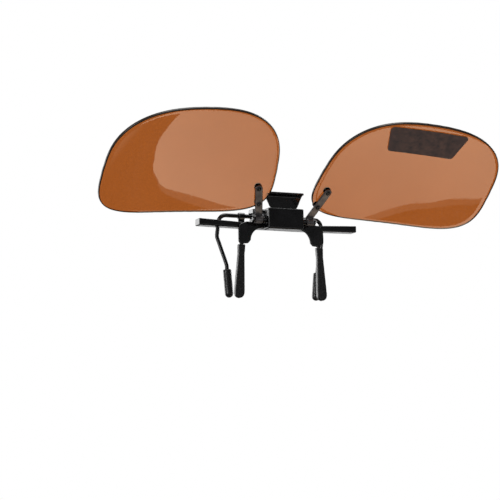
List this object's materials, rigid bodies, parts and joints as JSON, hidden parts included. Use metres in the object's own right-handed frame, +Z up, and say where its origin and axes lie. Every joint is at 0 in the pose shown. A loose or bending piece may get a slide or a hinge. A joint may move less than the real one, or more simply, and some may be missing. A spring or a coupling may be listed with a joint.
{
  "type": "flip-up clip-on sunglasses",
  "caption": "Brown rimless clip-on sunglasses, lenses flipped up on a central hinge, with a sprung clamp of rubber-covered legs and a thumb tab.",
  "frame": {"origin": "centre of the grip: midway between the front pads and the rear sleeves, on the mirror plane", "axes": "+X to the right seen from the front, across both lenses; +Y towards the wearer; +Z up"},
  "size_m": [0.1334, 0.0475, 0.0542],
  "materials": {
    "brown_lens": "polished brown tinted plastic, see-through",
    "black_plastic": "black moulded plastic, satin",
    "black_rubber": "black rubber dip, fine grain",
    "black_metal": "black lacquer, semi-gloss",
    "bracket_metal": "dark grey plated strip, satin",
    "steel": "darkened steel, satin",
    "dark_film": "thin dark self-adhesive film"
  },
  "bodies": {
    "clip_body": {"hinge_housing": "black_plastic", "front_yoke": "black_metal", "front_pad_left": "black_rubber", "front_pad_right": "black_rubber", "cross_bar": "black_plastic", "bar_screw_left": "steel", "bar_screw_right": "steel", "pivot_pin": "steel", "torsion_spring": "steel", "detent_leaf": "steel"},
    "clamp_lever": {"lever_body": "black_metal", "thumb_tab": "black_metal", "tab_rivet_left": "steel", "tab_rivet_right": "steel", "rear_wire_left": "black_metal", "rear_wire_right": "black_metal", "rear_sleeve_left": "black_rubber", "rear_sleeve_right": "black_rubber", "wire_crimp_left": "black_metal", "wire_crimp_right": "black_metal"},
    "lens_carrier": {"flip_axle": "steel", "detent_cam": "steel", "axle_spacer_left": "black_metal", "axle_spacer_right": "black_metal", "axle_cap_left": "black_metal", "axle_cap_right": "black_metal", "lens_bracket_left": "bracket_metal", "lens_bracket_right": "bracket_metal", "lens_left": "brown_lens", "lens_right": "brown_lens", "lens_screw_left_1": "black_metal", "lens_screw_left_2": "black_metal", "lens_screw_right_1": "black_metal", "lens_screw_right_2": "black_metal", "lens_nut_left_1": "black_metal", "lens_nut_left_2": "black_metal", "lens_nut_right_1": "black_metal", "lens_nut_right_2": "black_metal", "film_sticker": "dark_film"}
  },
  "joints": [
    {"name": "lens_flip", "type": "hinge", "parent": "clip_body", "child": "lens_carrier", "pos_m": [0, -0.0063, 0.0192], "axis": [1, 0, 0], "range_deg": [0, 129]},
    {"name": "clamp_pivot", "type": "hinge", "parent": "clip_body", "child": "clamp_lever", "pos_m": [0, -0.0039, 0.021], "axis": [1, 0, 0], "range_deg": [-9, 14], "stiffness_Nm_per_rad": 0.11, "springref_deg": -20.05, "deforming": ["torsion_spring"]}
  ]
}
